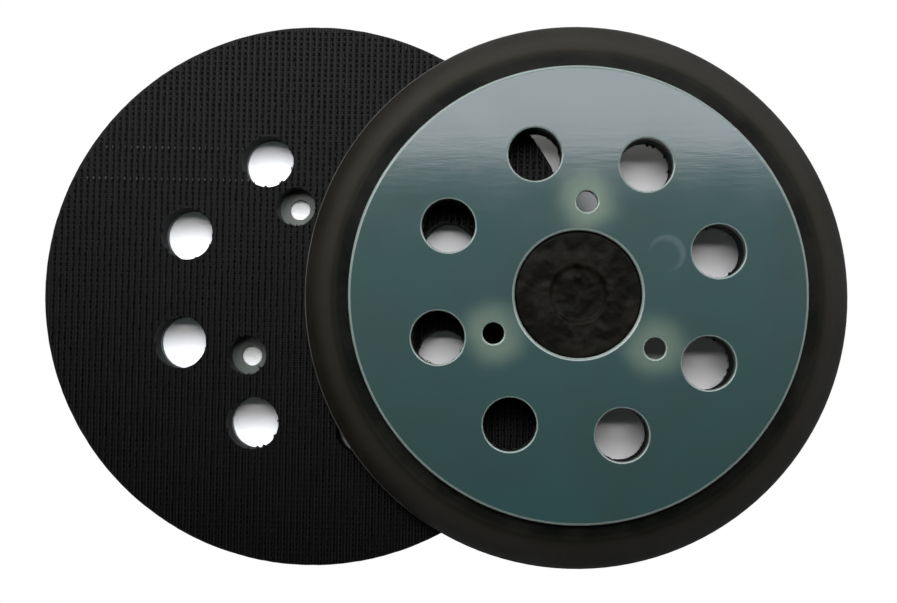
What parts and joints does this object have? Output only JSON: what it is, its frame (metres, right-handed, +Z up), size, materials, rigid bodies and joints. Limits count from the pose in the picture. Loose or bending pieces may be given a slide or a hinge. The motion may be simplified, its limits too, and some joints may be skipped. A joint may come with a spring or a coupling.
{
  "type": "sander backing pads",
  "caption": "Round hook-faced backing pads for an orbital sander, one lying hook side up, the other plate side up on it, with dust holes and screw holes.",
  "frame": {"origin": "below the middle of the pair's bounding box, on the surface that the rear pad lies on", "axes": "+Z up, away from that surface; +X from the rear pad towards the front pad; +Y away from a person who has the rear pad on the left"},
  "size_m": [0.1856, 0.1254, 0.0243],
  "materials": {
    "plate": "translucent blue-green moulded plastic, glossy",
    "foam": "moulded black polyurethane foam with a closed skin",
    "film": "thin pale adhesive film",
    "hook": "black woven hook cloth"
  },
  "bodies": {
    "rear_pad": {"rear_backing_plate": "plate", "rear_foam_cushion": "foam", "rear_adhesive_film": "film", "rear_hook_sheet": "hook"},
    "front_pad": {"front_backing_plate": "plate", "front_foam_cushion": "foam", "front_adhesive_film": "film", "front_hook_sheet": "hook"}
  },
  "joints": [
    {"name": "front_pad_lift", "type": "slide", "parent": "rear_pad", "child": "front_pad", "axis": [0, 0, 1], "range_m": [0, 0.04]}
  ]
}
